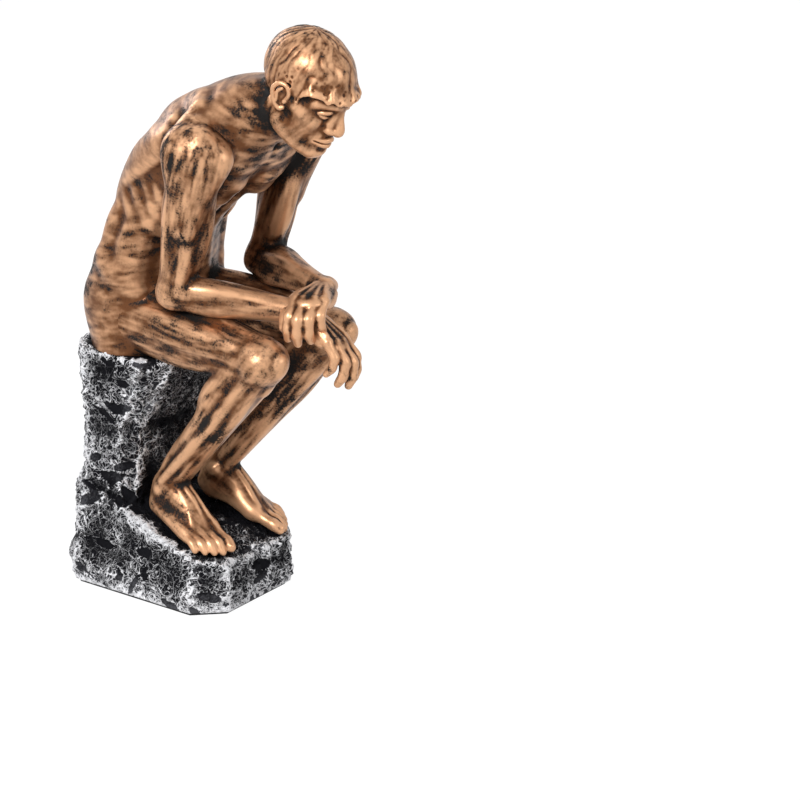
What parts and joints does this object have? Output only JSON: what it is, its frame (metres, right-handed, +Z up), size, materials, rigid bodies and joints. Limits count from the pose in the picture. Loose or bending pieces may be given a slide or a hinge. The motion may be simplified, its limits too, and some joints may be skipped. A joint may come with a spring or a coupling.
{
  "type": "seated figure statue",
  "caption": "Small cast statue of a seated figure bowed in thought, forearms resting on the thighs, on a rough rock seat. An ornament or paperweight that stands on a felt base.",
  "frame": {"origin": "middle of the felt's underside, where the statue rests", "axes": "+Z up, the figure faces -Y, its left side is +X"},
  "size_m": [0.0978, 0.1471, 0.2652],
  "materials": {
    "bronze": "satin metallic bronze paint with a black wash in the hollows, over cast resin",
    "rock": "near-black paint with a silver dry brush on the ridges, over cast resin",
    "felt": "plain black felt",
    "steel": "plain drawn steel"
  },
  "bodies": {
    "root": {"rock_base": "rock", "felt_sheet": "felt", "torso": "bronze", "head": "bronze", "right_arm": "bronze", "left_arm": "bronze", "right_leg": "bronze", "left_leg": "bronze", "neck_dowel": "steel", "right_shoulder_dowel": "steel", "left_shoulder_dowel": "steel", "right_hip_dowel": "steel", "left_hip_dowel": "steel", "right_foot_pin": "steel", "left_foot_pin": "steel", "right_seat_pin": "steel", "left_seat_pin": "steel"}
  },
  "joints": []
}
